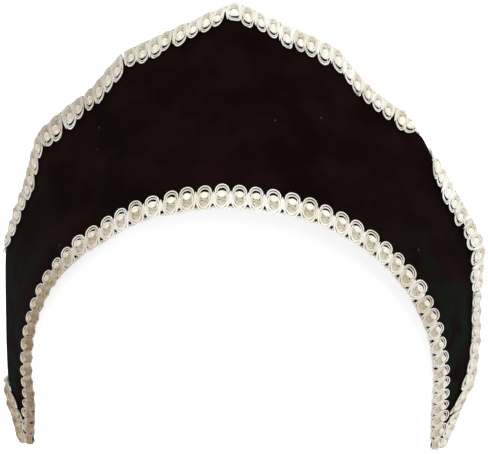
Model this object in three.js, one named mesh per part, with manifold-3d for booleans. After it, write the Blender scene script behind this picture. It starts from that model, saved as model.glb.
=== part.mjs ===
// A french hood's stiff crescent: a black velvet wall that frames the face, with pearl braid folded
// over its outer and its inner edge. It lies on its back, on its outer edge, front side up.
//
// Millimetres. +X runs across the hood, +Y from its two tips to the top of its crown, and +Z up from
// the surface that it lies on to the edge that frames the face. Each mesh is one closed body.

import * as THREE from 'three';
import { mergeVertices } from 'three/addons/utils/BufferGeometryUtils.js';
import Module from 'manifold-3d';

const wasm = await Module();
wasm.setup();

// Driving dimensions of the crescent. The outline runs through the middle of the wall.
const FACE_HALF_WIDTH = 81.5;   // from the middle of the face opening to its side
const FACE_HEIGHT = 97.4;       // from the tips' level up to the top of the face opening
const RIM_HALF_WIDTH = 96;      // from the middle to the outer edge at the sides
const RIM_HEIGHT = 177.5;       // from the tips' level up to the top of the crown
const FACE_LIFT = 64;           // how far the face edge stands above the outer edge at the crown
const WALL = 1.5;               // velvet, stiffening and backing together

// Driving dimensions of the braid
const CLEARANCE = 0.3;          // between the braid and the wall that it is folded over
const TAPE = 0.7;               // thickness of the looped band
const MOTIF_PITCH = 6.9;        // from one pearl to the next
const NOTCH = 1.7;              // depth of the scallops between two loops
const FACE_BRAID_FRONT = 8.1;   // how far the face braid's loops reach over the front
const FACE_BRAID_BACK = 3.4;    // and over the back
const RIM_BRAID_FRONT = 4.6;    // the same for the braid of the outer edge
const RIM_BRAID_BACK = 3.4;
const PEARL = 3.3;              // diameter
const PEARL_RISE = 1.9;         // above the band
const PEARL_INSET = 1.6;        // of the face braid's pearls, from the wall's edge
const PEARL_WAIST = 0.4;        // height of its widest girth, as a share of its rise
const PEARL_SIDES = 10;

// One row for each section of the half crescent, from the tip to the middle of the crown. The figures
// are shares: face_x and face_lean of FACE_HALF_WIDTH, face_y of FACE_HEIGHT, face_z of FACE_LIFT, rim_x
// and rim_lean of RIM_HALF_WIDTH, rim_y of RIM_HEIGHT. A lean shifts an edge to the left on both sides,
// because this hood was cut by hand. belly is how far the wall bows out from a straight line towards a
// square corner, which makes the sides stand steeply on the surface.
const SECTIONS = [
  // face_x face_y face_z face_lean rim_x rim_y rim_lean belly
  [1.010, -0.008, 0.050, 0.028, 0.887, -0.004, 0.022, 0.00],   // tip
  [0.995, 0.172, 0.260, 0.010, 0.980, 0.143, 0.004, 0.08],     // lower corner
  [0.989, 0.329, 0.460, 0.000, 0.993, 0.230, 0.000, 0.16],
  [0.953, 0.490, 0.610, -0.004, 0.996, 0.334, 0.000, 0.18],    // side
  [0.871, 0.640, 0.740, -0.004, 1.000, 0.452, -0.006, 0.12],   // third shoulder
  [0.789, 0.731, 0.820, -0.006, 0.878, 0.608, 0.014, 0.03],
  [0.688, 0.808, 0.890, -0.010, 0.811, 0.704, 0.028, 0.00],    // second shoulder
  [0.575, 0.870, 0.940, -0.018, 0.593, 0.802, 0.025, 0.00],
  [0.400, 0.945, 0.980, -0.018, 0.453, 0.888, 0.030, 0.02],    // first shoulder
  [0.210, 0.982, 0.997, -0.012, 0.190, 0.955, 0.020, 0.06],
  [0.000, 1.000, 1.000, -0.010, 0.000, 1.000, 0.007, 0.08],    // middle of the crown
];
const BELLY_SKEW = 0.06;        // the right side bows out more than the left by this share
const STEPS = 3;                // stations from one row of the table to the next
const FACE_EASE = 0.5;          // roundness of the face edge between the rows
const RIM_EASE = 0.2;           // the outer edge runs straighter, with tighter shoulders
const BETWEEN = 2;              // wall strips from one braid to the other

// Shape helpers

// A closed body between two skins. Both hold the same rows of points, row by row along the piece.
function bodyBetween(outer, inner) {
  const rings = outer.map((row, k) => [...row, ...[...inner[k]].reverse()]);
  const count = rings[0].length;
  const half = count / 2;
  const positions = rings.flat().flatMap((p) => [p.x, p.y, p.z]);
  const faces = [];
  for (let k = 0; k + 1 < rings.length; k += 1) {
    for (let i = 0; i < count; i += 1) {
      const a = k * count + i;
      const b = k * count + ((i + 1) % count);
      faces.push(a, b, b + count, a, b + count, a + count);
    }
  }
  const last = (rings.length - 1) * count;
  for (let i = 0; i + 1 < half; i += 1) {
    const back = count - 1 - i;
    faces.push(i, back, back - 1, i, back - 1, i + 1);
    faces.push(last + i, last + back - 1, last + back, last + i, last + i + 1, last + back - 1);
  }
  const geometry = new THREE.BufferGeometry();
  geometry.setAttribute('position', new THREE.Float32BufferAttribute(positions, 3));
  geometry.setIndex(faces);
  return geometry;
}

function toSolid(geometry) {
  const bare = geometry.clone();
  bare.deleteAttribute('normal');
  bare.deleteAttribute('uv');
  const merged = mergeVertices(bare, 1e-4);
  return new wasm.Manifold(new wasm.Mesh({
    numProp: 3,
    vertProperties: merged.attributes.position.array,
    triVerts: new Uint32Array(merged.index.array),
  }));
}

function toGeometry(solid) {
  const mesh = solid.getMesh();
  const geometry = new THREE.BufferGeometry();
  geometry.setAttribute('position', new THREE.BufferAttribute(mesh.vertProperties, 3));
  geometry.setIndex(new THREE.BufferAttribute(mesh.triVerts, 1));
  return geometry;
}

// The wall's middle surface

// The table mirrored to the whole crescent, left tip to right tip.
function wholeCrescent(place) {
  const left = SECTIONS.map((row) => place(row, -1));
  const right = SECTIONS.slice(0, -1).reverse().map((row) => place(row, 1));
  return [...left, ...right];
}

const facePoint = ([x, y, z, lean], side) => new THREE.Vector3(
  (side * x - lean) * FACE_HALF_WIDTH, y * FACE_HEIGHT, z * FACE_LIFT);
const rimPoint = ([, , , , x, y, lean], side) => new THREE.Vector3(
  (side * x - lean) * RIM_HALF_WIDTH, y * RIM_HEIGHT, 0);
const bellyPoint = (row, side) => new THREE.Vector3(row[7] + side * row[0] * BELLY_SKEW, 0, 0);

const curveThrough = (points, ease) => new THREE.CatmullRomCurve3(points, false, 'catmullrom', ease);
const faceEdge = curveThrough(wholeCrescent(facePoint), FACE_EASE);
const rimEdge = curveThrough(wholeCrescent(rimPoint), RIM_EASE);
const belly = curveThrough(wholeCrescent(bellyPoint), FACE_EASE);

// A point of the middle surface: u runs from tip to tip, v from the face edge to the outer edge.
function middle(u, v) {
  const face = faceEdge.getPoint(u);
  const rim = rimEdge.getPoint(u);
  const corner = new THREE.Vector3(rim.x, rim.y, face.z);
  const control = face.clone().add(rim).multiplyScalar(0.5).lerp(corner, belly.getPoint(u).x);
  return new THREE.QuadraticBezierCurve3(face, control, rim).getPoint(v);
}

const SMALL = 1e-3;

function outward(u, v) {
  const u0 = Math.max(u - SMALL, 0);
  const u1 = Math.min(u + SMALL, 1);
  const v0 = Math.max(v - SMALL, 0);
  const v1 = Math.min(v + SMALL, 1);
  const along = middle(u1, v).sub(middle(u0, v));
  const across = middle(u, v1).sub(middle(u, v0));
  return along.cross(across).normalize();
}

// Stations along the crescent. None stands in the middle, so the crown has one flat strip there.
const spans = 2 * (SECTIONS.length - 1) * STEPS;
const stationU = Array.from({ length: spans + 1 }, (_, k) => k / spans);
stationU.splice(spans / 2, 1);

// The widths of the wall's strips across one station: a strip under each braid, and some between.
function stripEdges(width) {
  const facePart = Math.min(FACE_BRAID_FRONT + TAPE, 0.45 * width);
  const rimPart = Math.min(RIM_BRAID_FRONT + TAPE, 0.4 * width);
  const free = width - facePart - rimPart;
  const edges = [0];
  for (let i = 0; i <= BETWEEN; i += 1) {
    edges.push(facePart + (free * i) / BETWEEN);
  }
  return [...edges, width];
}

// A station holds its points and normals on the strips' edges, and their distances from the face edge.
const FINE = 40;
const stations = stationU.map((u) => {
  const line = [0];
  for (let i = 1; i <= FINE; i += 1) {
    line.push(line[i - 1] + middle(u, i / FINE).distanceTo(middle(u, (i - 1) / FINE)));
  }
  const width = line[FINE];
  const reach = stripEdges(width);
  const shares = reach.map((distance) => {
    const next = line.findIndex((length, i) => i > 0 && length >= distance - 1e-9);
    return (next - 1 + (distance - line[next - 1]) / (line[next] - line[next - 1])) / FINE;
  });
  return {
    width,
    reach,
    points: shares.map((v) => middle(u, v)),
    normals: shares.map((v) => outward(u, v)),
  };
});

// The crescent's wall: its front and back skins stand half a wall off the middle.
const skin = (offset) => stations.map((station) => station.points.map(
  (point, i) => point.clone().addScaledVector(station.normals[i], offset)));
const crescent = bodyBetween(skin(-WALL / 2), skin(WALL / 2));

// Places on the wall

// The point of one station at a distance in from an edge; a distance below 0 lies beyond the edge.
function atStation(station, fromRim, distance) {
  const { points, normals, reach, width } = station;
  const d = fromRim ? width - distance : distance;
  let i = reach.findIndex((length) => length > d) - 1;
  if (d >= width) i = reach.length - 2;
  i = Math.max(i, 0);
  const t = (d - reach[i]) / (reach[i + 1] - reach[i]);
  const inside = THREE.MathUtils.clamp(t, 0, 1);
  return {
    point: points[i].clone().lerp(points[i + 1], t),
    normal: normals[i].clone().lerp(normals[i + 1], inside).normalize(),
    inward: points[i + 1].clone().sub(points[i]).normalize().multiplyScalar(fromRim ? -1 : 1),
  };
}

// The same between stations: s counts stations from the left tip, with its fraction.
function onWall(s, fromRim, distance) {
  const k = Math.min(Math.floor(s), stations.length - 2);
  const a = atStation(stations[k], fromRim, distance);
  const b = atStation(stations[k + 1], fromRim, distance);
  const t = s - k;
  return {
    point: a.point.lerp(b.point, t),
    normal: a.normal.lerp(b.normal, t).normalize(),
    inward: a.inward.lerp(b.inward, t).normalize(),
  };
}

function widthAt(s) {
  const k = Math.min(Math.floor(s), stations.length - 2);
  return THREE.MathUtils.lerp(stations[k].width, stations[k + 1].width, s - k);
}

// Stations with their fractions, evenly spaced by length along an edge: two for each motif, a notch
// and a loop's top in turn, starting and ending with a notch.
function motifStations(fromRim) {
  const edge = stations.map((station) => atStation(station, fromRim, 0).point);
  const lengths = [0];
  for (let k = 1; k < edge.length; k += 1) {
    lengths.push(lengths[k - 1] + edge[k].distanceTo(edge[k - 1]));
  }
  const total = lengths[lengths.length - 1];
  const motifs = Math.round(total / MOTIF_PITCH);
  const places = [];
  for (let i = 0; i <= 2 * motifs; i += 1) {
    const length = (total * i) / (2 * motifs);
    const next = Math.max(lengths.findIndex((value) => value >= length - 1e-6), 1);
    places.push(next - 1 + (length - lengths[next - 1]) / (lengths[next] - lengths[next - 1]));
  }
  return places;
}

// The room that the braid leaves for the wall: the wall itself, grown by the clearance on every side.
function grownSkin(lift) {
  const rows = stations.map((station) => {
    const row = station.points.map((point) => point.clone());
    row[0] = atStation(station, false, -CLEARANCE).point;
    row[row.length - 1] = atStation(station, true, -CLEARANCE).point;
    return row.map((point, i) => point.addScaledVector(station.normals[i], lift));
  });
  [[0, 1], [rows.length - 1, rows.length - 2]].forEach(([end, next]) => {
    rows[end].forEach((point, i) => {
      point.addScaledVector(point.clone().sub(rows[next][i]).normalize(), CLEARANCE);
    });
  });
  return rows;
}

// The braid

const INNER_OFFSET = WALL / 2 + CLEARANCE;
const OUTER_OFFSET = INNER_OFFSET + TAPE;
const wallRoom = toSolid(bodyBetween(grownSkin(-INNER_OFFSET), grownSkin(INNER_OFFSET)));

// Both braids share the front where the crescent is narrow, each with its part of the width.
function frontReach(s, wanted) {
  const both = FACE_BRAID_FRONT + RIM_BRAID_FRONT;
  return wanted * Math.min(1, (widthAt(s) - CLEARANCE) / both);
}

// One skin of the folded band at s: over the front, round the edge and over the back.
function bandRow(s, fromRim, front, back, beyond, offset) {
  const row = [[front, offset], [-beyond, offset], [-beyond, -offset], [back, -offset]];
  return row.map(([distance, lift]) => {
    const place = onWall(s, fromRim, distance);
    return place.point.addScaledVector(place.normal, lift);
  });
}

// A pearl: its foot is sunk in the band, its waist stands clear of it.
function pearl(place, out, sunk) {
  const profile = [[0, -sunk], [PEARL / 2, PEARL_WAIST * PEARL_RISE], [0, PEARL_RISE]];
  const points = profile.map(([radius, height]) => new THREE.Vector2(radius, height));
  const shape = new THREE.LatheGeometry(points, PEARL_SIDES);
  shape.applyQuaternion(new THREE.Quaternion().setFromUnitVectors(new THREE.Vector3(0, 1, 0), out));
  shape.translate(place.x, place.y, place.z);
  return shape;
}

// The outer braid has rolled under the edge along the left side: 1 where it has, 0 elsewhere.
const rolled = (point) => THREE.MathUtils.smoothstep(-point.x / RIM_HALF_WIDTH, 0.92, 0.98);

// The face braid carries its pearls on the front, the outer braid on its front corner, or on the edge
// itself where it has rolled under.
function pearlAt(s, fromRim) {
  const { point, normal, inward } = onWall(s, fromRim, fromRim ? -CLEARANCE - TAPE : PEARL_INSET);
  if (!fromRim) return pearl(point.addScaledVector(normal, OUTER_OFFSET), normal, TAPE / 2);
  const front = 1 - rolled(point);
  const out = normal.clone().multiplyScalar(front).sub(inward).normalize();
  return pearl(point.addScaledVector(normal, front * OUTER_OFFSET), out, TAPE * (1 + front) / 2);
}

function pearlBraid(fromRim, frontWanted, backWanted) {
  const places = motifStations(fromRim);
  const outer = [];
  const inner = [];
  places.forEach((s, i) => {
    const notch = i % 2 === 0 ? NOTCH : 0;
    const front = frontReach(s, frontWanted - notch);
    const back = frontReach(s, backWanted - notch);
    outer.push(bandRow(s, fromRim, front, back, CLEARANCE + TAPE, OUTER_OFFSET));
    inner.push(bandRow(s, fromRim, front, back, 0, WALL / 4));
  });
  const band = fromRim ? bodyBetween(inner, outer) : bodyBetween(outer, inner);
  let solid = toSolid(band);
  places.forEach((s, i) => {
    if (i % 2 === 1) solid = solid.add(toSolid(pearlAt(s, fromRim)));
  });
  return toGeometry(solid.subtract(wallRoom));
}

// Materials

const velvet = new THREE.MeshStandardMaterial({ color: 0x140c0c, roughness: 0.95, metalness: 0 });
const ivory = new THREE.MeshStandardMaterial({ color: 0xe9e2d2, roughness: 0.4, metalness: 0 });

// Assembly

const group = new THREE.Group();

function addPiece(name, geometry, material) {
  const mesh = new THREE.Mesh(geometry, material);
  mesh.name = name;
  group.add(mesh);
}

addPiece('velvet_crescent', crescent, velvet);
addPiece('inner_pearl_braid', pearlBraid(false, FACE_BRAID_FRONT, FACE_BRAID_BACK), ivory);
addPiece('outer_pearl_braid', pearlBraid(true, RIM_BRAID_FRONT, RIM_BRAID_BACK), ivory);

// The origin is the middle of the hood's outline, on the surface that it lies on.
const box = new THREE.Box3().setFromObject(group);
const centre = box.getCenter(new THREE.Vector3());
group.position.set(-centre.x, -centre.y, -box.min.z);

export default group;
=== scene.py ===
# %% [markdown]
# # A velvet french hood with pearl braid
# The imported model is the fixed frame: three plain solids in metres, which say where each piece
# goes. This lesson dresses them with a velvet wall and with braid made of real cords and pearls.
# A helper reads the box of a solid, because the looks must not outgrow it.

# %% Load the frame
import math

import bpy
import numpy as np
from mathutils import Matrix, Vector


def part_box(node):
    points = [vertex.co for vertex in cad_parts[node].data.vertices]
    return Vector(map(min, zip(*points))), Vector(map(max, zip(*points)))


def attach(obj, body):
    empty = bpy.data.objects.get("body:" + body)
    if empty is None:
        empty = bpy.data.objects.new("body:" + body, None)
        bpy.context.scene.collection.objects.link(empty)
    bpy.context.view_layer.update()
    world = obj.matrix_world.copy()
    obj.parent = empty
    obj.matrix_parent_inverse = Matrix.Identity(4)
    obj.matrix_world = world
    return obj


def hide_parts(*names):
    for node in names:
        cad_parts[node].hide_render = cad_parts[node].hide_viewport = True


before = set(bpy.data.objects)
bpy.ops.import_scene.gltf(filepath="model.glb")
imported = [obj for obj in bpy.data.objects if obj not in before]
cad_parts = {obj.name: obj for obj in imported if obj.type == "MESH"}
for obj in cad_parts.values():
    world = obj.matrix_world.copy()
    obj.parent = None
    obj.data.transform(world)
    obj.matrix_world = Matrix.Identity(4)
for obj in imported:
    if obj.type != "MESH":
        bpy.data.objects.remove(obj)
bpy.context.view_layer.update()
print("solids:", sorted(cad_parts))

# %% [markdown]
# ## The photograph's camera
# The hood lies on its outer edge with its front side up, and the camera looks down on it, a few
# degrees from the right. A long lens keeps the tall face edge from growing over the rest. The
# camera comes first, because every later choice is judged through it.

# %% Camera
TARGET = Vector((0.0034, -0.0010, 0.020))
CAMERA_DISTANCE = 0.650
CAMERA_LEAN = math.radians(5.0)
LENS_PIXELS = 1625              # the lens's length in pixels of the photo
PHOTO_WIDTH = 488
SENSOR_WIDTH = 36.0             # mm

camera_data = bpy.data.cameras.new("camera")
camera_data.sensor_width = SENSOR_WIDTH
camera_data.lens = LENS_PIXELS * SENSOR_WIDTH / PHOTO_WIDTH
camera = bpy.data.objects.new("camera", camera_data)
bpy.context.scene.collection.objects.link(camera)
towards_camera = Vector((math.sin(CAMERA_LEAN), 0, math.cos(CAMERA_LEAN)))
camera.location = TARGET + CAMERA_DISTANCE * towards_camera
camera.rotation_euler = (0, CAMERA_LEAN, 0)
bpy.context.scene.camera = camera
print(f"lens {camera_data.lens:.1f} mm")

# %% [markdown]
# ## The pattern of the hood
# A maker cuts the crescent from a paper pattern: a line for the face edge, a line for the outer
# edge with its three shoulders, and a depth. The same lines are repeated here as a table of
# shares. Smooth curves run through the rows, so one table gives the wall, its edges and the path
# of both braids.

# %% Pattern
FACE_HALF_WIDTH = 0.0815        # metres, to the middle of the wall
FACE_HEIGHT = 0.0974
RIM_HALF_WIDTH = 0.0960
RIM_HEIGHT = 0.1775
FACE_LIFT = 0.0640              # height of the face edge at the crown
WALL = 0.0015
BELLY_SKEW = 0.06               # how much more the right side bows out
FACE_EASE = 0.5
RIM_EASE = 0.2
SECTIONS = np.array([
    # face_x face_y face_z face_lean rim_x rim_y rim_lean belly
    [1.010, -0.008, 0.050, 0.028, 0.887, -0.004, 0.022, 0.00],   # tip
    [0.995, 0.172, 0.260, 0.010, 0.980, 0.143, 0.004, 0.08],     # lower corner
    [0.989, 0.329, 0.460, 0.000, 0.993, 0.230, 0.000, 0.16],
    [0.953, 0.490, 0.610, -0.004, 0.996, 0.334, 0.000, 0.18],    # side
    [0.871, 0.640, 0.740, -0.004, 1.000, 0.452, -0.006, 0.12],   # third shoulder
    [0.789, 0.731, 0.820, -0.006, 0.878, 0.608, 0.014, 0.03],
    [0.688, 0.808, 0.890, -0.010, 0.811, 0.704, 0.028, 0.00],    # second shoulder
    [0.575, 0.870, 0.940, -0.018, 0.593, 0.802, 0.025, 0.00],
    [0.400, 0.945, 0.980, -0.018, 0.453, 0.888, 0.030, 0.02],    # first shoulder
    [0.210, 0.982, 0.997, -0.012, 0.190, 0.955, 0.020, 0.06],
    [0.000, 1.000, 1.000, -0.010, 0.000, 1.000, 0.007, 0.08],    # middle of the crown
])
LEFT = np.hstack([SECTIONS, -np.ones((len(SECTIONS), 1))])
RIGHT = np.hstack([SECTIONS, np.ones((len(SECTIONS), 1))])[-2::-1]
ROWS = np.vstack([LEFT, RIGHT])
print("sections from tip to tip:", len(ROWS))


# %% [markdown]
# ## Curves through the pattern's rows
# The curve must pass through every row, so it is a Catmull-Rom curve. Its ease says how round it
# is: the face edge is a soft arch, and the outer edge runs straighter with tight shoulders.

# %% Curve helper
def curve_through(points, ease, u):
    ends = np.vstack([2 * points[0] - points[1], points, 2 * points[-1] - points[-2]])
    place = np.clip(u, 0, 1) * (len(points) - 1)
    k = np.minimum(place.astype(int), len(points) - 2)
    t = (place - k)[:, None]
    a, b, c, d = (ends[k + i] for i in range(4))
    start, end = ease * (c - a), ease * (d - b)
    squared = 3 * (c - b) - 2 * start - end
    cubed = 2 * (b - c) + start + end
    return b + start * t + squared * t**2 + cubed * t**3


def edge_points(u):
    x, y, z, lean, rim_x, rim_y, rim_lean, belly, side = ROWS.T
    face = np.stack([(side * x - lean) * FACE_HALF_WIDTH, y * FACE_HEIGHT, z * FACE_LIFT], 1)
    rim = np.stack([(side * rim_x - rim_lean) * RIM_HALF_WIDTH, rim_y * RIM_HEIGHT, 0 * y], 1)
    bow = (belly + side * x * BELLY_SKEW)[:, None]
    return (curve_through(face, FACE_EASE, u), curve_through(rim, RIM_EASE, u),
            curve_through(bow, FACE_EASE, u))


# %% [markdown]
# ## The middle surface of the wall
# Between its two edges the wall bows out a little, which makes the sides stand steeply. A
# quadratic curve does this with one control point, pulled from the straight line towards a square
# corner. The pattern is drawn around its own origin, so it is then moved by a fixed step until its
# middle is the middle of the velvet solid.

# %% Wall surface
ACROSS = 48                     # strips from the face edge to the outer edge


def lay_out(u):
    face, rim, bow = edge_points(u)
    corner = np.stack([rim[:, 0], rim[:, 1], face[:, 2]], 1)
    control = (face + rim) / 2 * (1 - bow) + corner * bow
    v = np.linspace(0, 1, ACROSS + 1)[None, :, None]
    face, control, rim = face[:, None], control[:, None], rim[:, None]
    return face * (1 - v)**2 + 2 * control * v * (1 - v) + rim * v**2


def unit(vectors):
    return vectors / np.maximum(np.linalg.norm(vectors, axis=-1, keepdims=True), 1e-12)


def front_normals(u, points):
    step = 1e-3                 # as a share of the way from tip to tip
    ahead = lay_out(np.minimum(u + step, 1)) - lay_out(np.maximum(u - step, 0))
    across = np.gradient(points, axis=1)
    return unit(np.cross(ahead, across))


trial_u = np.linspace(0, 1, 241)
trial = lay_out(trial_u)
trial_normals = front_normals(trial_u, trial)
trial_skins = np.concatenate([trial + trial_normals * WALL / 2, trial - trial_normals * WALL / 2])
trial_middle = (trial_skins.min((0, 1)) + trial_skins.max((0, 1))) / 2
low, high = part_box("velvet_crescent")
SHIFT = (np.array(low) + np.array(high)) / 2 - trial_middle
print("pattern moved onto the frame by", (SHIFT * 1000).round(2), "mm")

# %% [markdown]
# ## Making a mesh from rings
# Sewn cloth has no edge where it stops being a surface, and neither has a good mesh: it is closed.
# The wall is a row of rings round its thickness. One helper joins neighbouring rings with quads and
# closes the two ends. It then looks at the sign of the volume, and turns the faces over if they
# point inwards.

# %% Mesh helpers
def signed_volume(points, faces):
    total = 0.0
    for face in faces:
        a = points[face[0]]
        for i in range(1, len(face) - 1):
            total += np.dot(a, np.cross(points[face[i]], points[face[i + 1]]))
    return total / 6


def mesh_object(name, points, faces, smooth=True):
    mesh = bpy.data.meshes.new(name)
    mesh.from_pydata([tuple(p) for p in points], [], faces)
    mesh.polygons.foreach_set("use_smooth", [smooth] * len(faces))
    mesh.update()
    piece = bpy.data.objects.new(name, mesh)
    bpy.context.scene.collection.objects.link(piece)
    return piece


def closed_tube(rings):
    rows, count = rings.shape[:2]
    points = rings.reshape(-1, 3)
    faces = []
    for k in range(rows - 1):
        for i in range(count):
            a, b = k * count + i, k * count + (i + 1) % count
            faces.append((a, b, b + count, a + count))
    half = count // 2
    for first in (0, (rows - 1) * count):
        caps = [(first, first + 1, first + count - 1),
                (first + half - 1, first + half, first + half + 1)]
        caps += [(first + i, first + i + 1, first + count - i - 1, first + count - i)
                 for i in range(1, half - 1)]
        faces += caps if first == 0 else [face[::-1] for face in caps]
    if signed_volume(points, faces) < 0:
        faces = [face[::-1] for face in faces]
    return points, faces


# %% [markdown]
# ## The velvet wall
# On the real hood, velvet is drawn over a stiff shape and turned over its edges. So the wall is
# one closed shell with round edges, 1.5 mm thick. Cloth never lies quite flat: a slow noise lifts
# it by a tenth of a millimetre, which breaks up the sheen.

# %% Velvet wall
from mathutils import noise

STATIONS = 440                  # rings from tip to tip
ROUND_STEPS = 5                 # points round each edge
CLOTH_LIFT = 0.00012
CLOTH_SCALE = 70.0              # waves to the metre
BACK_OFFSET = 0.5               # gives the back its own waves


def cloth_lift(points):
    flat = points.reshape(-1, 3) * CLOTH_SCALE
    lift = [noise.noise(Vector(p)) for p in flat]
    return (np.array(lift) * CLOTH_LIFT).reshape(points.shape[:-1] + (1,))


wall_u = np.linspace(0, 1, STATIONS + 1)
middle = lay_out(wall_u) + SHIFT
normals = front_normals(wall_u, middle)
front_skin = middle + normals * (WALL / 2 + cloth_lift(middle))
back_skin = middle - normals * (WALL / 2 + cloth_lift(middle + BACK_OFFSET))


def round_edge(edge, inside, turn):
    angles = np.linspace(0, math.pi, ROUND_STEPS + 2)[1:-1]
    outward = unit(middle[:, edge] - middle[:, inside])[:, None]
    normal = normals[:, edge][:, None]
    swing = np.cos(angles)[None, :, None] * normal + np.sin(angles)[None, :, None] * outward
    arc = middle[:, edge][:, None] + swing * WALL / 2
    return arc if turn else arc[:, ::-1]


face_round = round_edge(0, 1, False)
rim_round = round_edge(-1, -2, True)
half_round = ROUND_STEPS // 2
rings = np.concatenate([
    face_round[:, half_round:], front_skin, rim_round,
    back_skin[:, ::-1], face_round[:, :half_round]], axis=1)
wall_points, wall_faces = closed_tube(rings)
velvet_wall = mesh_object("velvet_wall", wall_points, wall_faces)
print("velvet wall:", len(wall_faces), "faces")


# %% [markdown]
# ## The path of the braid
# Braid is a flat band until it is folded over an edge. So it is made flat first, and then laid on
# a guide: a smooth skin that runs over the front, round the edge and over the back. The guide
# carries two things for each point: its flat place, as a UV map, and its outward direction.

# %% Guide maker
GUIDE_GAP = 0.00015             # between velvet and braid
GUIDE_STEP = 0.0006
FOLD_RADIUS = WALL / 2 + GUIDE_GAP
FOLD = math.pi * FOLD_RADIUS    # length of the bend from front to back
FLAT_LOW, FLAT_HIGH = -0.0082, 0.0090   # the band's reach over the back and the front, laid flat
FLAT_STEPS = 44
SLIP = 0.0105                   # how far the band has moved at slip 1
UNDER_CORD = 0.0015             # the room that the braid needs below the outer edge
LEAST_STEEP = 0.2               # below this slope the band isn't pushed out any farther
FACE_FRONT_SHARE = 0.62         # how much of the wall's width each braid may take where it narrows
RIM_FRONT_SHARE = 0.38
WIDEST_SHARE = 0.72             # no reach goes past this share of the wall's width
BACK_KEEPS = 0.35               # the part of its back width that a narrowed band keeps
STAND_OFF_FADE = 0.9            # how much of the stand-off is gone at the tips of the loops
RIM_STAND_OUT = 0.0012          # the fold of the rim braid goes this far past the edge
LEVEL = (1, 1, 0)               # leaves out the height


def even_stations(from_rim):
    u = np.linspace(0, 1, 1201)
    face, rim, _ = edge_points(u)
    edge = rim if from_rim else face
    length = np.concatenate([[0], np.cumsum(np.linalg.norm(np.diff(edge, axis=0), axis=1))])
    count = int(length[-1] / GUIDE_STEP)
    return np.interp(np.linspace(0, length[-1], count + 1), length, u), length[-1]


def along_row(rows, lengths, wanted):
    out = np.empty((len(rows), len(wanted[0]), 3))
    for k, row in enumerate(rows):
        first, last = unit(row[0] - row[1]), unit(row[-1] - row[-2])
        for axis in range(3):
            out[k, :, axis] = np.interp(wanted[k], lengths[k], row[:, axis])
        out[k] += np.maximum(-wanted[k], 0)[:, None] * first
        out[k] += np.maximum(wanted[k] - lengths[k, -1], 0)[:, None] * last
    return out


def braid_guide(name, from_rim, front_share, table, stand_out):
    u, length = even_stations(from_rim)
    if from_rim:
        u = u[::-1]
    rows = lay_out(u) + SHIFT
    row_normals = front_normals(u, rows)
    if from_rim:
        rows, row_normals = rows[:, ::-1], row_normals[:, ::-1]
    gaps = np.linalg.norm(np.diff(rows, axis=1), axis=2)
    lengths = np.concatenate([np.zeros((len(rows), 1)), np.cumsum(gaps, axis=1)], axis=1)
    flat = np.linspace(FLAT_LOW, FLAT_HIGH, FLAT_STEPS + 1)[None, :] + np.zeros((len(rows), 1))
    stations, *columns = zip(*table)
    slip, reach, stand_off = (np.interp(u, stations, column)[:, None] for column in columns)
    room = np.minimum(np.minimum(1, front_share * lengths[:, -1:] / FLAT_HIGH) * reach,
                      WIDEST_SHARE * lengths[:, -1:] / FLAT_HIGH)
    steep = np.maximum(-unit(rows[:, 0] - rows[:, 1])[:, 2:], LEAST_STEEP)
    beyond = np.clip((rows[:, 0, 2:] - UNDER_CORD) / steep, 0, stand_out) * (1 - slip)
    back_room = np.minimum(1, BACK_KEEPS + (1 - BACK_KEEPS) * room)
    place = np.where(flat > 0, flat * room, flat * back_room) - slip * SLIP
    angle = np.clip(-place / FOLD_RADIUS, 0, math.pi)[..., None]
    inward = np.maximum(np.maximum(place, -FOLD - place), 0)

    # each flat place is walked down its row, and bent round the edge where it lies beyond it
    points = along_row(rows, lengths, inward - beyond)
    level = unit((rows[:, 0] - rows[:, 1]) * LEVEL)
    loose = 1 - STAND_OFF_FADE * np.clip(flat / FLAT_HIGH, 0, 1)[..., None]
    points = points + loose * (level * stand_off * (1 - slip))[:, None]
    outward_edge = unit(rows[:, 0] - rows[:, 1])[:, None]
    normal = np.stack([np.stack([np.interp(inward[k], lengths[k], row_normals[k, :, axis])
                                 for axis in range(3)], 1) for k in range(len(rows))])
    outward = unit(np.cos(angle) * normal + np.sin(angle) * outward_edge)
    points = points + outward * FOLD_RADIUS

    # the skin, with each point's outward direction and its flat place as the chart
    count = FLAT_STEPS + 1
    faces = [(k * count + i, (k + 1) * count + i, (k + 1) * count + i + 1, k * count + i + 1)
             for k in range(len(rows) - 1) for i in range(FLAT_STEPS)]
    guide = mesh_object(name, points.reshape(-1, 3), faces)
    store = guide.data.attributes.new("outward", "FLOAT_VECTOR", "POINT")
    store.data.foreach_set("vector", outward.reshape(-1))
    chart = guide.data.uv_layers.new(name="flat")
    corners = np.array([loop.vertex_index for loop in guide.data.loops])
    places = np.stack([corners // count / (len(rows) - 1), corners % count / FLAT_STEPS], 1)
    chart.data.foreach_set("uv", places.reshape(-1))
    print(f"{name}: {length * 1000:.0f} mm long, {len(faces)} faces")
    return guide, length


# %% [markdown]
# ## How the braid lies on each edge
# No maker sews braid on quite evenly, and a table for each edge says how it lies, from the left tip
# to the right one. Slip 0 keeps the pearls in front, and slip 1 rolls them under. Reach widens or
# narrows the band. Stand-off is how far the loose band is off its edge, in metres; it fades
# towards the tips of the loops, which stay sewn down.

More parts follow.
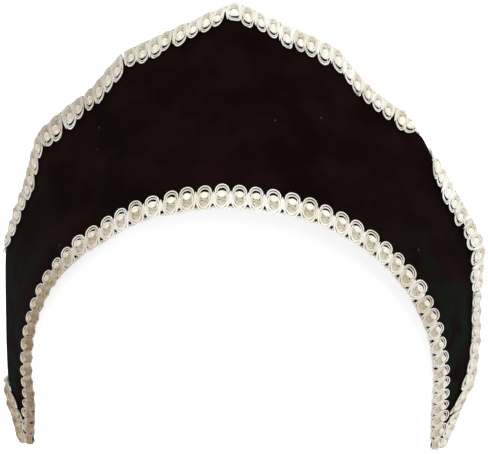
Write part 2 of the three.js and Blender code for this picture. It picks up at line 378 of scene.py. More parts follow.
# %% Guides
# place from the left tip (0) to the right tip (1), slip, reach, stand-off
FACE_TABLE = [
    (0.000, 0.00, 1.00, 0.0000),
    (0.030, 0.05, 0.85, 0.0000),
    (0.060, 0.18, 0.70, 0.0000),
    (0.120, 0.23, 0.66, 0.0000),
    (0.190, 0.21, 0.70, 0.0000),
    (0.250, 0.10, 0.82, 0.0005),
    (0.310, 0.02, 0.92, 0.0008),
    (0.380, 0.00, 1.00, 0.0007),
    (0.460, 0.00, 1.00, 0.0005),
    (0.600, 0.00, 1.00, 0.0004),
    (0.680, 0.00, 1.03, 0.0000),
    (0.760, 0.00, 1.08, 0.0000),
    (0.820, 0.00, 0.98, 0.0000),
    (0.860, 0.02, 0.90, 0.0000),
    (0.950, 0.02, 0.88, 0.0000),
    (1.000, 0.00, 1.00, 0.0000),
]
RIM_TABLE = [
    (0.000, -0.05, 2.40, 0.0010),
    (0.026, 0.00, 2.00, 0.0026),
    (0.034, 0.05, 1.40, 0.0030),
    (0.060, 1.00, 1.00, 0.0015),    # rolled under along the lower left side
    (0.190, 1.00, 1.00, 0.0015),
    (0.215, 0.10, 1.20, 0.0008),
    (0.250, 0.00, 1.35, 0.0016),
    (0.290, 0.00, 1.35, 0.0016),
    (0.330, 0.00, 1.35, 0.0024),
    (0.380, 0.00, 1.35, 0.0014),
    (0.440, 0.00, 1.25, 0.0014),
    (0.500, 0.00, 1.15, 0.0015),    # middle of the crown
    (0.560, 0.00, 1.30, 0.0022),
    (0.600, 0.00, 1.30, 0.0020),
    (0.640, 0.00, 1.25, 0.0008),
    (0.680, 0.05, 1.20, 0.0020),
    (0.698, 1.00, 1.00, 0.0015),    # rolled under round the right shoulder
    (0.710, 1.00, 1.00, 0.0015),
    (0.740, 0.05, 1.20, 0.0018),
    (0.775, 0.00, 1.25, 0.0028),
    (0.800, 0.00, 1.40, 0.0030),
    (0.840, 0.00, 1.10, 0.0030),
    (0.920, 0.00, 0.90, 0.0022),
    (0.958, 0.00, 1.30, 0.0018),
    (0.972, 0.00, 2.20, 0.0008),
    (1.000, -0.05, 2.40, 0.0000),
]
face_guide, face_length = braid_guide("face_guide", False, FACE_FRONT_SHARE, FACE_TABLE, 0.0)
rim_guide, rim_length = braid_guide("rim_guide", True, RIM_FRONT_SHARE, RIM_TABLE, RIM_STAND_OUT)


# %% [markdown]
# ## A small helper for node trees
# Geometry Nodes and materials are both trees of nodes. The helper adds a node, sets its options,
# and joins or fills its inputs in one line, so the cells below read like a recipe. A modifier's
# inputs are set by the sockets' identifiers, before the object is first evaluated.

# %% Node helper
class NodeTree:
    def __init__(self, tree):
        self.tree = tree

    def add(self, kind, inputs=None, **options):
        node = self.tree.nodes.new(kind)
        for key, value in options.items():
            setattr(node, key, value)
        for key, value in (inputs or {}).items():
            self.fill(node.inputs[key], value)
        return node

    def fill(self, socket, value):
        if isinstance(value, bpy.types.NodeSocket):
            self.tree.links.new(value, socket)
        else:
            socket.default_value = value

    def maths(self, operation, *values):
        node = self.add("ShaderNodeMath", operation=operation)
        for socket, value in zip(node.inputs, values):
            self.fill(socket, value)
        return node.outputs[0]


def geometry_tree(name, sockets):
    tree = bpy.data.node_groups.new(name, "GeometryNodeTree")
    tree.interface.new_socket("Geometry", in_out="INPUT", socket_type="NodeSocketGeometry")
    tree.interface.new_socket("Geometry", in_out="OUTPUT", socket_type="NodeSocketGeometry")
    for label, kind in sockets:
        tree.interface.new_socket(label, in_out="INPUT", socket_type="NodeSocket" + kind)
    maker = NodeTree(tree)
    return maker, maker.add("NodeGroupInput").outputs, maker.add("NodeGroupOutput").inputs


def run_tree(piece, tree, values):
    modifier = piece.modifiers.new(tree.name, "NODES")
    modifier.node_group = tree
    for item in tree.interface.items_tree:
        if item.in_out == "INPUT" and item.name in values:
            modifier[item.identifier] = values[item.name]


def freeze(piece, name):
    """The evaluated piece as a plain mesh object; the maker with its modifier is removed."""
    graph = bpy.context.evaluated_depsgraph_get()
    mesh = bpy.data.meshes.new_from_object(piece.evaluated_get(graph))
    mesh.name = name
    plain = bpy.data.objects.new(name, mesh)
    bpy.context.scene.collection.objects.link(plain)
    bpy.data.objects.remove(piece)
    faces = len(mesh.polygons)
    triangles = sum(len(face.vertices) - 2 for face in mesh.polygons)
    print(f"{name}: {faces} faces, {triangles} triangles")
    return plain


# %% [markdown]
# ## A tree that turns lines into cord
# The braid's maker works with satin cord of two sizes. Each cord is a line with a radius at each
# point, and the tree sweeps a small circle along it. It also stores how far the cord has run and
# which way the circle faces: the twist of the threads is painted from these two later on.

# %% Cord tree
cord_maker, cord_in, cord_out = geometry_tree("cord from a line", [("Sides", "Int")])
circle = cord_maker.add("GeometryNodeCurvePrimitiveCircle", {
    "Resolution": cord_in["Sides"], "Radius": 1.0})
facing = cord_maker.add("GeometryNodeStoreNamedAttribute", {
    "Geometry": circle.outputs[0], "Name": "facing",
    "Value": cord_maker.add("GeometryNodeInputPosition").outputs[0],
}, data_type="FLOAT_VECTOR")
line_run = cord_maker.add("GeometryNodeStoreNamedAttribute", {
    "Geometry": cord_in["Geometry"], "Name": "run",
    "Value": cord_maker.add("GeometryNodeSplineParameter").outputs["Length"]})
swept = cord_maker.add("GeometryNodeCurveToMesh", {
    "Curve": line_run.outputs[0], "Profile Curve": facing.outputs[0],
    "Scale": cord_maker.add("GeometryNodeInputRadius").outputs[0], "Fill Caps": True})
cord_maker.fill(cord_out["Geometry"], swept.outputs[0])


def cords(name, lines, sides):
    curve = bpy.data.curves.new(name, "CURVE")
    curve.dimensions = "3D"
    for points, radii, closed in lines:
        spline = curve.splines.new("POLY")
        spline.points.add(len(points) - 1)
        for point, place, radius in zip(spline.points, points, radii):
            point.co = (*place, 1)
            point.radius = radius
        spline.use_cyclic_u = closed
    piece = bpy.data.objects.new(name, curve)
    bpy.context.scene.collection.objects.link(piece)
    run_tree(piece, cord_maker.tree, {"Sides": sides})
    return freeze(piece, name)


# %% [markdown]
# ## One motif of the braid
# Looked at closely, the braid repeats one motif. A thick cord runs up between two pearls, round a
# loop and down again, and thin cords follow it inside the loop. An egg-shaped nest of wound cord
# holds the pearl, with a zigzag under it. A short joint fills the gap to the next motif, and a
# waved cord runs along the foot. Beyond it hangs a second row of loops, which goes to the back.
# All of it is drawn flat in millimetres: along the braid, across it, and up from it. The sizes come
# first, with the few curves that its lines are made of.

# %% Motif sizes
PITCH = 6.3                     # width of the motif as drawn; the tree fits it to each edge
LOOP_CENTRE = 5.10
BACK_LOOP_CENTRE = -4.1
EDGE_PLACE = -1.62              # of the waved cord at the foot
EDGE_WAVE = 0.20
PEARL_PLACE = 3.72
PEARL_RADIUS = 1.48
PEARL_LIFT = 0.72
PEARL_FLATNESS = 0.74
THICK_SIDES, THIN_SIDES = 6, 5  # sides of a cord's section


def bent(x, y, half_width, half_height, start, end, steps, lift):
    angles = [math.radians(start + (end - start) * i / steps) for i in range(steps + 1)]
    return [(x + half_width * math.cos(a), y + half_height * math.sin(a), lift) for a in angles]


def egg(y, half_width, half_height, end, steps, lift, fullness):
    oval = bent(0, y, half_width, half_height, 0, end, steps, lift)
    return [(x * (1 + fullness * abs(py - y) / half_height), py, pz) for x, py, pz in oval]


def flared(points, foot, foot_lift, slope):
    return [(x, y, foot_lift + max(y - foot, 0) * slope) for x, y, _ in points]


def even(points, radius, closed=False):
    return points, [radius] * len(points), closed


def mirrored(points):
    return [(-x, y, z) for x, y, z in reversed(points)]


# %% [markdown]
# ## The lines of the motif
# Half of each loop is drawn and mirrored. The lower parts are drawn first and the pearl's nest
# last, as the maker couches them one over the other. Thick, thin and wound cords are kept apart,
# because each becomes a piece of its own.

# %% Motif lines
loop_arc = flared(bent(0, LOOP_CENTRE, 2.42, 2.48, -8, 188, 18, 0), 4.6, 0.40, 0.22)
leg = [(1.05, -1.35, 0.24), (1.95, -1.0, 0.28), (2.45, 0.0, 0.38),
       (2.66, 1.6, 0.52), (2.72, 3.0, 0.48), (2.60, 4.1, 0.42)]
leg_radii = [0.34, 0.40, 0.44, 0.46, 0.42, 0.32]
loop_line = leg + loop_arc + mirrored(leg)
loop_radii = leg_radii + [0.25] * len(loop_arc) + leg_radii[::-1]

back_side = [(2.72, -0.9, 0.30), (2.55, -2.2, 0.30), (2.40, -3.3, 0.28)]
back_arc = bent(0, BACK_LOOP_CENTRE, 2.36, 2.30, 0, -180, 12, 0.28)
back_loop = back_side + back_arc + mirrored(back_side)
inner_side = [(1.75, -1.2, 0.22), (1.70, -2.8, 0.2)]
inner_arc = bent(0, BACK_LOOP_CENTRE, 1.75, 1.70, 0, -180, 10, 0.2)
back_inner = inner_side + inner_arc + mirrored(inner_side)

# across the braid, lift and radius of the joint between two motifs
joint = [(5.30, 0.36, 0.20), (4.4, 0.38, 0.42), (3.2, 0.36, 0.54),
         (2.0, 0.26, 0.56), (1.0, 0.12, 0.54), (0.25, 0.02, 0.42)]
joint_line = [(PITCH / 2, y, lift) for y, lift, _ in joint]
joint_radii = [radius for _, _, radius in joint]
edge_line = [(x, EDGE_PLACE + EDGE_WAVE * math.cos(2 * math.pi * x / PITCH), 0.24)
             for x in (-3.15, -2.1, -1.05, 0.0, 1.05, 2.1, 3.15)]

# half width and place across the braid of each row of the zigzag
zigzag = []
for i, (width, y) in enumerate([(1.42, 1.85), (1.36, 1.18), (1.12, 0.50), (0.72, -0.12)]):
    side = 1 if i % 2 == 0 else -1
    zigzag += [(-side * width, y, 0.70), (-side * width * 0.4, y - 0.16, 0.92),
               (side * width * 0.4, y - 0.26, 0.92), (side * width, y - 0.32, 0.70)]

thick_lines = [
    (loop_line, loop_radii, False),
    even(back_loop, 0.26),
    even(edge_line, 0.30),
    (joint_line, joint_radii, False),
    even(egg(2.10, 1.95, 2.90, 342, 19, 0.58, 0.32), 0.34, True),
]
thin_lines = [
    even(flared(bent(0, LOOP_CENTRE, 1.72, 1.46, -20, 200, 14, 0), 4.6, 0.30, 0.22), 0.17),
    even(flared(bent(0, LOOP_CENTRE, 2.06, 1.95, -10, 190, 14, 0), 4.6, 0.16, 0.18), 0.13),
    even(back_inner, 0.15),
]
wound_lines = [
    even(egg(2.20, 1.50, 2.30, 340, 17, 0.78, 0.25), 0.26, True),
    even(zigzag, 0.27),
]
thick_cords = cords("thick_cords", thick_lines, THICK_SIDES)
thin_cords = cords("thin_cords", thin_lines, THIN_SIDES)
wound_cords = cords("wound_cords", wound_lines, THIN_SIDES)


# %% [markdown]
# ## The nest under each pearl
# Between its cords the nest isn't empty: a small pad of satin threads closes it, so the pearl
# sits on cloth. A flattened dome does it. A wider and thinner dome lies under the whole motif, so
# that no velvet shows between its cords. The pearl itself is a ball that is a little flat from
# front to back, as cheap hollow pearls are.

# %% Nest pad and pearl
def cap_faces(segments, rings):
    """A fan round point 0, and quads from each ring to the next one."""
    faces = [(0, 1 + i, 1 + (i + 1) % segments) for i in range(segments)]
    for r in range(rings - 1):
        for i in range(segments):
            a, b = 1 + r * segments + i, 1 + r * segments + (i + 1) % segments
            faces.append((a, a + segments, b + segments, b))
    return faces


def around(segments):
    angles = [2 * math.pi * i / segments for i in range(segments)]
    return [(math.cos(a), math.sin(a)) for a in angles]


def dome(name, half_width, half_height, y, foot, top, segments, rings):
    points = [(0, y, top)]
    for share in [r / rings for r in range(1, rings + 1)]:
        height = foot + (top - foot) * math.sin(math.pi / 2 * (1 - share))
        points += [(half_width * share * cos, y + half_height * share * sin, height)
                   for cos, sin in around(segments)]
    last = 1 + (rings - 1) * segments
    floor_face = tuple(last + i for i in reversed(range(segments)))
    return mesh_object(name, points, cap_faces(segments, rings) + [floor_face])


def pearl(name, segments, rings):
    points = [(0, 0, 1)]
    for tilt in [math.pi * r / rings for r in range(1, rings)]:
        points += [(math.sin(tilt) * cos, math.sin(tilt) * sin, math.cos(tilt))
                   for cos, sin in around(segments)]
    points.append((0, 0, -1))
    last = len(points) - 1
    start = last - segments
    bottom_fan = [(last, start + (i + 1) % segments, start + i) for i in range(segments)]
    placed = [(PEARL_RADIUS * x, PEARL_PLACE + PEARL_RADIUS * y,
               PEARL_LIFT + PEARL_RADIUS * PEARL_FLATNESS * z) for x, y, z in points]
    return mesh_object(name, placed, cap_faces(segments, rings - 1) + bottom_fan)


# name, half width, half height, place across the braid, foot, top, sides, rings
base_pad = dome("base_pad", 3.10, 2.45, 1.25, 0.10, 0.46, 14, 2)
nest_pad = dome("nest_pad", 1.95, 2.9, 2.10, 0.15, 0.66, 14, 3)
pearl_ball = pearl("pearl_ball", 18, 12)


# %% [markdown]
# ## A tree that lays the braid on its path
# The flat motif is repeated along a line, one for each pearl. Nothing made by hand is even, so
# each one is turned, grown and moved a little, from a fixed seed. A motif is also squeezed or
# stretched along the braid until it fits the pitch of its edge. Each gets a chance tone for the
# colours.

# %% Braid tree, laid flat
MILLIMETRE = 0.001
CHART_MARGIN = 0.0005           # keeps a looked-up place off the guide's very edge
FLOOR_BLEND = 0.0004            # how softly the braid is pressed flat
braid_sockets = [
    ("Motif", "Object"), ("Guide", "Object"), ("Count", "Int"), ("Pitch", "Float"),
    ("Length", "Float"), ("Low", "Float"), ("High", "Float"), ("Scale", "Float"),
    ("Uneven", "Float"), ("Turn", "Float"), ("Wander", "Float"), ("Seed", "Int"),
    ("Floor", "Float"), ("Material", "Material")]
braid, b_in, b_out = geometry_tree("braid on its path", braid_sockets)


def random_between(low, high, seed_shift):
    seed = braid.maths("ADD", b_in["Seed"], seed_shift)
    node = braid.add("FunctionNodeRandomValue", data_type="FLOAT")
    # the node has a set of sockets for each type: 2 and 3 are the bounds of a float, 8 is the seed
    for socket, value in ((2, low), (3, high), (8, seed)):
        braid.fill(node.inputs[socket], value)
    return node.outputs[1]


def vector(x, y, z):
    node = braid.add("ShaderNodeCombineXYZ")
    for socket, value in zip(node.inputs, (x, y, z)):
        braid.fill(socket, value)
    return node.outputs[0]


half_pitch = braid.maths("MULTIPLY", b_in["Pitch"], 0.5)
line = braid.add("GeometryNodeMeshLine", {
    "Count": b_in["Count"], "Start Location": vector(half_pitch, 0.0, 0.0),
    "Offset": vector(b_in["Pitch"], 0.0, 0.0)}, mode="OFFSET")


def either_way(name, seed_shift):
    less = braid.maths("MULTIPLY", b_in[name], -1.0)
    return random_between(less, b_in[name], seed_shift)


moved = braid.add("GeometryNodeSetPosition", {
    "Geometry": line.outputs[0],
    "Offset": vector(either_way("Wander", 1), either_way("Wander", 2), 0.0)})
turned = braid.add("FunctionNodeEulerToRotation", {
    0: vector(0.0, 0.0, either_way("Turn", 3))})
grown = braid.maths("MULTIPLY", b_in["Scale"],
                    braid.maths("ADD", either_way("Uneven", 4), 1.0))
fitted = braid.maths("DIVIDE", b_in["Pitch"], PITCH * MILLIMETRE)
eased = braid.maths("MULTIPLY", grown, fitted)
motif = braid.add("GeometryNodeObjectInfo", {"Object": b_in["Motif"]})
placed = braid.add("GeometryNodeInstanceOnPoints", {
    "Points": moved.outputs[0], "Instance": motif.outputs["Geometry"],
    "Rotation": turned.outputs[0], "Scale": vector(eased, grown, grown)})
toned = braid.add("GeometryNodeStoreNamedAttribute", {
    "Geometry": placed.outputs[0], "Name": "tone", "Value": random_between(0.0, 1.0, 5)},
    domain="INSTANCE")
real = braid.add("GeometryNodeRealizeInstances", {"Geometry": toned.outputs[0]})

# %% [markdown]
# ## Folding it over the edge
# Then every point is looked up on the guide by its flat place, and rises from it along the guide's
# outward direction. A point that would sink below the surface that the hood lies on is pressed flat
# there. The tree also keeps each point's place across the braid for the colours.

# %% Braid tree, folded
flat_place = braid.add("ShaderNodeSeparateXYZ", {
    0: braid.add("GeometryNodeInputPosition").outputs[0]}).outputs
marked = braid.add("GeometryNodeStoreNamedAttribute", {
    "Geometry": real.outputs[0], "Name": "across", "Value": flat_place[1]})
band_width = braid.maths("SUBTRACT", b_in["High"], b_in["Low"])
share_along = braid.maths("DIVIDE", flat_place[0], b_in["Length"])
share_across = braid.maths(
    "DIVIDE", braid.maths("SUBTRACT", flat_place[1], b_in["Low"]), band_width)
inside = [braid.maths("MINIMUM", braid.maths("MAXIMUM", share, CHART_MARGIN), 1 - CHART_MARGIN)
          for share in (share_along, share_across)]
chart_place = vector(inside[0], inside[1], 0.0)


def on_guide(value):
    guide = braid.add("GeometryNodeObjectInfo", {"Object": b_in["Guide"]})
    chart = braid.add("GeometryNodeInputNamedAttribute", {"Name": "flat"}, data_type="FLOAT_VECTOR")
    return braid.add("GeometryNodeSampleUVSurface", {
        "Mesh": guide.outputs["Geometry"], "Value": value, "UV Map": chart.outputs[0],
        "Sample UV": chart_place}, data_type="FLOAT_VECTOR").outputs[0]


outward = braid.add(
    "GeometryNodeInputNamedAttribute", {"Name": "outward"}, data_type="FLOAT_VECTOR")
surface = on_guide(braid.add("GeometryNodeInputPosition").outputs[0])
lifted = braid.add("ShaderNodeVectorMath", {
    0: on_guide(outward.outputs[0]), "Scale": flat_place[2]}, operation="SCALE")
laid = braid.add("ShaderNodeVectorMath", {0: surface, 1: lifted.outputs[0]}, operation="ADD")
spot = braid.add("ShaderNodeSeparateXYZ", {0: laid.outputs[0]}).outputs
above = braid.maths("SMOOTH_MAX", spot[2], b_in["Floor"], FLOOR_BLEND)
settled = braid.add("GeometryNodeSetPosition", {
    "Geometry": marked.outputs[0], "Position": vector(spot[0], spot[1], above)})
shaded = braid.add("GeometryNodeSetShadeSmooth", {"Geometry": settled.outputs[0]})
coloured = braid.add("GeometryNodeSetMaterial", {
    "Geometry": shaded.outputs[0], "Material": b_in["Material"]})
braid.fill(b_out["Geometry"], coloured.outputs[0])
print("braid tree:", len(braid.tree.nodes), "nodes")


# %% [markdown]
# ## Painted shade towards the tips
# Towards the two tips, and most of all low on the left, the white braid is darkened to a brown
# beige as painted shade. The shade belongs to the place on the hood, not to one cord. So a node
# group works it out from the object's own coordinates, and every material of the braid shares it.

# %% Painted shade
def ranged(maker, value, low, high, to_low=0.0, to_high=1.0):
    node = maker.add("ShaderNodeMapRange", {
        "Value": value, "From Min": low, "From Max": high, "To Min": to_low, "To Max": to_high},
        interpolation_type="SMOOTHSTEP")
    return node.outputs[0]


def own_place(maker):
    return maker.add("ShaderNodeTexCoord").outputs["Object"]


def own_axes(maker):
    return maker.add("ShaderNodeSeparateXYZ", {0: own_place(maker)}).outputs


shade_maker = NodeTree(bpy.data.node_groups.new("warmth towards the tips", "ShaderNodeTree"))
shade_maker.tree.interface.new_socket("Shade share", in_out="OUTPUT", socket_type="NodeSocketFloat")
warm_x, warm_y, _ = own_axes(shade_maker)
# painted shade: darker brown low down, more on the left, and over the whole left half
low_down = ranged(shade_maker, warm_y, 0.025, -0.045)
left_more = ranged(shade_maker, warm_x, 0.070, -0.070, 0.42, 1.0)
left_always = ranged(shade_maker, warm_x, -0.005, -0.070, 0.0, 0.58)
most_shaded = shade_maker.maths(
    "MAXIMUM", shade_maker.maths("MULTIPLY", low_down, left_more), left_always)
shade_maker.add("NodeGroupOutput", {0: most_shaded})


def painted_shade(maker):
    return maker.add("ShaderNodeGroup", node_tree=shade_maker.tree).outputs[0]


# %% [markdown]
# ## Helpers for the materials
# Every material here is a few numbers and some noise in the object's own coordinates, so it needs
# no picture and stays with the piece wherever that goes. These helpers make a material, fill its
# surface, read a stored value, mix two colours, and give a cloudy noise or a small relief.

# %% Material helpers
def material(name):
    made = bpy.data.materials.new(name)
    made.use_nodes = True
    return made, NodeTree(made.node_tree), made.node_tree.nodes["Principled BSDF"].inputs


def finish_surface(maker, surface, values):
    for label, value in values.items():
        maker.fill(surface[label], value)


def attribute(maker, name, output="Fac"):
    return maker.add("ShaderNodeAttribute", attribute_name=name).outputs[output]


def blended(maker, factor, first, second):
    node = maker.add("ShaderNodeMix", {"Factor": factor}, data_type="RGBA")
    for socket, value in zip([s for s in node.inputs if s.type == "RGBA"], (first, second)):
        maker.fill(socket, (*value, 1) if isinstance(value, tuple) else value)
    return [s for s in node.outputs if s.type == "RGBA"][0]


def speckle(maker, scale, detail=2.0):
    return maker.add("ShaderNodeTexNoise", {
        "Vector": own_place(maker), "Scale": scale, "Detail": detail}).outputs[0]


def bumped(maker, height, distance, strength):
    return maker.add("ShaderNodeBump", {
        "Height": height, "Distance": distance, "Strength": strength}).outputs[0]


# %% [markdown]
# ## Satin cord
# The cord is a core wound with shiny thread. Its twist is a wave that runs with the cord and turns
# with the circle's facing, so it stays true round every loop. It gives a little relief, and painted
# shade darkens the line between the threads. The brown painted shade is weaker towards the tips of
# the loops, which catch the light, and each motif has its own chance share of an older white.

# %% Cord material
TWIST_TURNS = 5.2               # for each millimetre of cord
AGED = (0.82, 0.77, 0.67)       # what age leaves of red, green and blue
# painted shade in the grooves between the threads
SHADE_BETWEEN_THREADS = (0.30, 0.25, 0.20)
# painted shade: the brown shade fades from the foot of the loops to their lit tips
LOOP_TIP, LOOP_FOOT = 0.0068, 0.0020    # places across the braid where the warmth changes
THREAD_DEPTH = 0.00005


def satin(name, fresh, shade_colour, roughness):
    made, maker, surface = material(name)
    facing_x, facing_y, _ = maker.add("ShaderNodeSeparateXYZ", {
        0: attribute(maker, "facing", "Vector")}).outputs
    turn = maker.maths("ARCTAN2", facing_y, facing_x)
    turns = maker.maths("MULTIPLY", attribute(maker, "run"), TWIST_TURNS)
    thread = maker.maths("ABSOLUTE", maker.maths("SINE", maker.maths("ADD", turns, turn)))
    cloudy = ranged(maker, speckle(maker, 260.0), 0.3, 0.62, 0.75, 1.0)
    # painted shade is weaker towards the tips of the loops
    less_shade_at_tip = ranged(maker, attribute(maker, "across"), LOOP_TIP, LOOP_FOOT, 0.40, 1.0)
    how_shaded = maker.maths("MULTIPLY", maker.maths("MULTIPLY", painted_shade(maker), cloudy), less_shade_at_tip)
    aged = tuple(part * share for part, share in zip(fresh, AGED))
    white = blended(maker, attribute(maker, "tone"), fresh, aged)
    colour = blended(maker, how_shaded, white, shade_colour)
    # painted shade: the line between the threads is darkened
    groove_shade = ranged(maker, thread, 0.0, 0.5, 0.40, 0.0)
    finish_surface(maker, surface, {
        "Base Color": blended(maker, groove_shade, colour, SHADE_BETWEEN_THREADS),
        "Roughness": roughness,
        "Sheen Weight": 0.25,
        "Sheen Roughness": 0.35,
        "Normal": bumped(maker, thread, THREAD_DEPTH, 0.7),
    })
    return made


# name, fresh colour, colour where the painted shade is strongest, roughness
cord_satin = satin("satin_cord", (0.82, 0.83, 0.79), (0.20, 0.122, 0.055), 0.38)
# nest and pad: a beige satin, made darker still by painted shade, darkest on the pad
shaded_nest_satin = satin("satin_nest_shaded", (0.62, 0.59, 0.48), (0.18, 0.108, 0.048), 0.42)
shaded_pad_satin = satin("satin_pad_shaded", (0.38, 0.35, 0.27), (0.11, 0.068, 0.035), 0.6)
shaded_rim_nest_satin = satin("satin_rim_nest_shaded", (0.71, 0.69, 0.61), (0.19, 0.115, 0.052), 0.42)
shaded_rim_pad_satin = satin("satin_rim_pad_shaded", (0.54, 0.51, 0.43), (0.14, 0.086, 0.042), 0.6)
print("satins:", ", ".join(made.name for made in bpy.data.materials if "satin" in made.name))

# %% [markdown]
# ## Pearl
# The pearls are ivory beads with a clear gloss, which a thin coat over a softer surface gives. A
# faint cloud of tone keeps two neighbours from looking the same. Towards the tips and low on the
# left they take the same brown painted shade as the braid.

# %% Pearl material
IVORY, DEEP_IVORY = (0.77, 0.74, 0.65), (0.70, 0.66, 0.55)
# painted shade: the brown that the pearls take low on the left and towards the tips
SHADED_PEARL = (0.34, 0.235, 0.13)

pearl_shine, pearl_maker, pearl_surface = material("ivory_pearl")
pearl_cloud = ranged(pearl_maker, speckle(pearl_maker, 420.0), 0.35, 0.65)
ivory = blended(pearl_maker, pearl_cloud, IVORY, DEEP_IVORY)
finish_surface(pearl_maker, pearl_surface, {
    "Base Color": blended(pearl_maker, painted_shade(pearl_maker), ivory, SHADED_PEARL),
    "Roughness": 0.28,
    "Coat Weight": 0.7,
    "Coat Roughness": 0.12,
})
print(pearl_shine.name, "made of", len(pearl_shine.node_tree.nodes), "nodes")

# %% [markdown]
# ## Velvet
# Velvet is black because its upright pile swallows light, and it shines only at grazing angles.
# A little sheen does that, with no gloss at all. The pile itself is a fine grain, and a slower
# noise shows where a hand has stroked it. The dye has a breath of brown. Low on the sides, green
# patches are a painted sheen. Velvet also gathers lint: a few pale specks, each at the heart of a
# random cell.

# %% Velvet material
DYE_DARK, DYE_STROKED = (0.0045, 0.0018, 0.0018), (0.0074, 0.0034, 0.0031)
# painted sheen: the green shine low on the sides
PAINTED_GREEN_SHEEN = (0.0046, 0.0078, 0.0052)
LINT = (0.07, 0.055, 0.05)
PILE_GRAINS = 2600.0            # to the metre
PILE_DEPTH = 0.00012

velvet, velvet_maker, velvet_surface = material("black_velvet")
stroke_marks = ranged(velvet_maker, speckle(velvet_maker, 55.0, 4.0), 0.35, 0.65)
stroked = blended(velvet_maker, stroke_marks, DYE_DARK, DYE_STROKED)
# painted sheen: green patches, low on the sides
low_sides = ranged(velvet_maker, own_axes(velvet_maker)[1], 0.010, -0.045)
sheen_patches = ranged(velvet_maker, speckle(velvet_maker, 90.0), 0.40, 0.60)
green_sheen_share = velvet_maker.maths("MULTIPLY", low_sides, sheen_patches)
dye_and_sheen = blended(velvet_maker, green_sheen_share, stroked, PAINTED_GREEN_SHEEN)
to_speck = velvet_maker.add("ShaderNodeTexVoronoi", {
    "Vector": own_place(velvet_maker), "Scale": 85.0, "Randomness": 1.0}).outputs["Distance"]
finish_surface(velvet_maker, velvet_surface, {
    "Base Color": blended(
        velvet_maker, ranged(velvet_maker, to_speck, 0.045, 0.025, 0.0, 0.7), dye_and_sheen, LINT),
    "Roughness": 0.95,
    "Specular IOR Level": 0.0,
    "Sheen Weight": 0.008,
    "Sheen Roughness": 0.45,
    "Normal": bumped(velvet_maker, speckle(velvet_maker, PILE_GRAINS), PILE_DEPTH, 0.6),
})
velvet_wall.data.materials.append(velvet)
print(velvet.name, "made of", len(velvet.node_tree.nodes), "nodes")
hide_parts("velvet_crescent")
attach(velvet_wall, "root")

# %% [markdown]
# ## Sewing the braid on
# The same braid goes round both edges. At the outer edge it lies a little farther in, its motifs
# are closer and more uneven, and its nests are paler. Each piece is a bare object with the tree on
# it, frozen into a plain mesh before it rides on the hood.

# %% Braid pieces
FLOOR_GAP = 0.0001              # nothing of the braid sinks lower than this
# guide, its length, wanted pitch, how far in it lies, seed, unevenness, wander, turn
EDGES = {
    "face": (face_guide, face_length, 0.0065, 0.0, 11, 0.03, 0.00014, 0.06),
    "rim": (rim_guide, rim_length, 0.0059, 0.0009, 47, 0.12, 0.00050, 0.20),
}
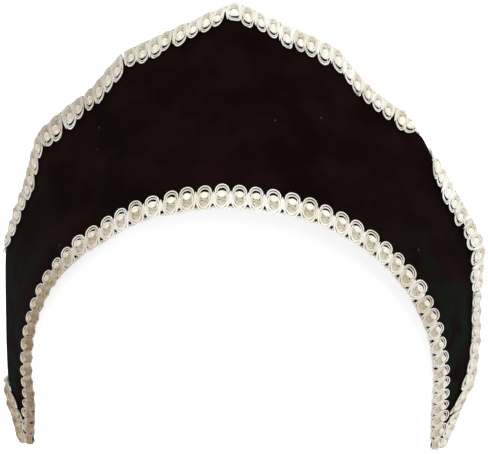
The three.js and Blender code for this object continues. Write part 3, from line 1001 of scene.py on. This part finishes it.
# layer, its part of the motif, its look at the face edge and at the outer edge, looseness
LAYERS = [
    ("loops", thick_cords, {"face": cord_satin, "rim": cord_satin}, 1.0),
    ("threads", thin_cords, {"face": cord_satin, "rim": cord_satin}, 1.0),
    ("windings", wound_cords, {"face": shaded_nest_satin, "rim": shaded_rim_nest_satin}, 1.0),
    ("bases", base_pad, {"face": cord_satin, "rim": cord_satin}, 1.0),
    ("pads", nest_pad, {"face": shaded_pad_satin, "rim": shaded_rim_pad_satin}, 1.0),
    ("pearls", pearl_ball, {"face": pearl_shine, "rim": pearl_shine}, 1.4),
]
for edge, (guide, length, pitch, inward, seed, uneven, wander, turn) in EDGES.items():
    count = round(length / pitch)
    for layer, motif_piece, looks, looseness in LAYERS:
        name = f"{edge}_braid_{layer}"
        maker = bpy.data.objects.new(name + "_maker", bpy.data.meshes.new(name + "_maker"))
        bpy.context.scene.collection.objects.link(maker)
        run_tree(maker, braid.tree, {
            "Motif": motif_piece, "Guide": guide, "Count": count, "Pitch": length / count,
            "Length": length, "Low": FLAT_LOW - inward, "High": FLAT_HIGH - inward,
            "Scale": MILLIMETRE, "Uneven": uneven, "Turn": turn, "Wander": wander * looseness,
            "Seed": seed, "Floor": FLOOR_GAP, "Material": looks[edge]})
        piece = freeze(maker, name)
        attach(piece, "root")
        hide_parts("inner_pearl_braid" if edge == "face" else "outer_pearl_braid")
    print(f"{edge} edge: {count} pearls, {length / count * 1000:.2f} mm apart")

for helper in (face_guide, rim_guide, *(motif_piece for _, motif_piece, _, _ in LAYERS)):
    bpy.data.objects.remove(helper)

# %% [markdown]
# ## Floor and light
# A pale plain floor and two large soft lamps keep the shadows faint, as on a white table near a
# window. The stronger lamp stands above and to the right, where the pearls show their highlights.

# %% Stage
FLOOR_REACH = 1.5
PURE_WHITE = (1.0, 1.0, 1.0, 1.0)

corners = [(-FLOOR_REACH, -FLOOR_REACH, 0), (FLOOR_REACH, -FLOOR_REACH, 0),
           (FLOOR_REACH, FLOOR_REACH, 0), (-FLOOR_REACH, FLOOR_REACH, 0)]
floor = mesh_object("floor", corners, [(0, 1, 2, 3)], smooth=False)
pale, pale_maker, pale_surface = material("pale_floor")
finish_surface(pale_maker, pale_surface, {
    "Base Color": (0.95, 0.95, 0.95, 1),
    "Roughness": 0.8,
    "Emission Color": PURE_WHITE,
    "Emission Strength": 0.45,
})
floor.data.materials.append(pale)

world = bpy.data.worlds.new("soft room")
world.use_nodes = True
room_light = world.node_tree.nodes["Background"].inputs
room_light["Color"].default_value = PURE_WHITE
room_light["Strength"].default_value = 0.55
bpy.context.scene.world = world
bpy.context.scene.view_settings.view_transform = "Standard"


def lamp(name, place, size, power):
    data = bpy.data.lights.new(name, "AREA")
    data.size = size
    data.energy = power
    light = bpy.data.objects.new(name, data)
    bpy.context.scene.collection.objects.link(light)
    light.location = place
    light.rotation_euler = (TARGET - Vector(place)).to_track_quat("-Z", "Y").to_euler()


# name, place, width in metres, watts
lamp("window", (0.22, 0.24, 1.05), 0.45, 9.0)
lamp("fill", (-0.25, -0.75, 0.80), 0.7, 5.0)
print("lamps:", ", ".join(light.name for light in bpy.data.lights))

# %% [markdown]
# ## A box as plain numbers
# The dressed hood should fill the same space as the solids it stands for. A helper turns a box into
# plain numbers.

# %% Finish
def plain(box):
    return [[float(value) for value in corner] for corner in box]
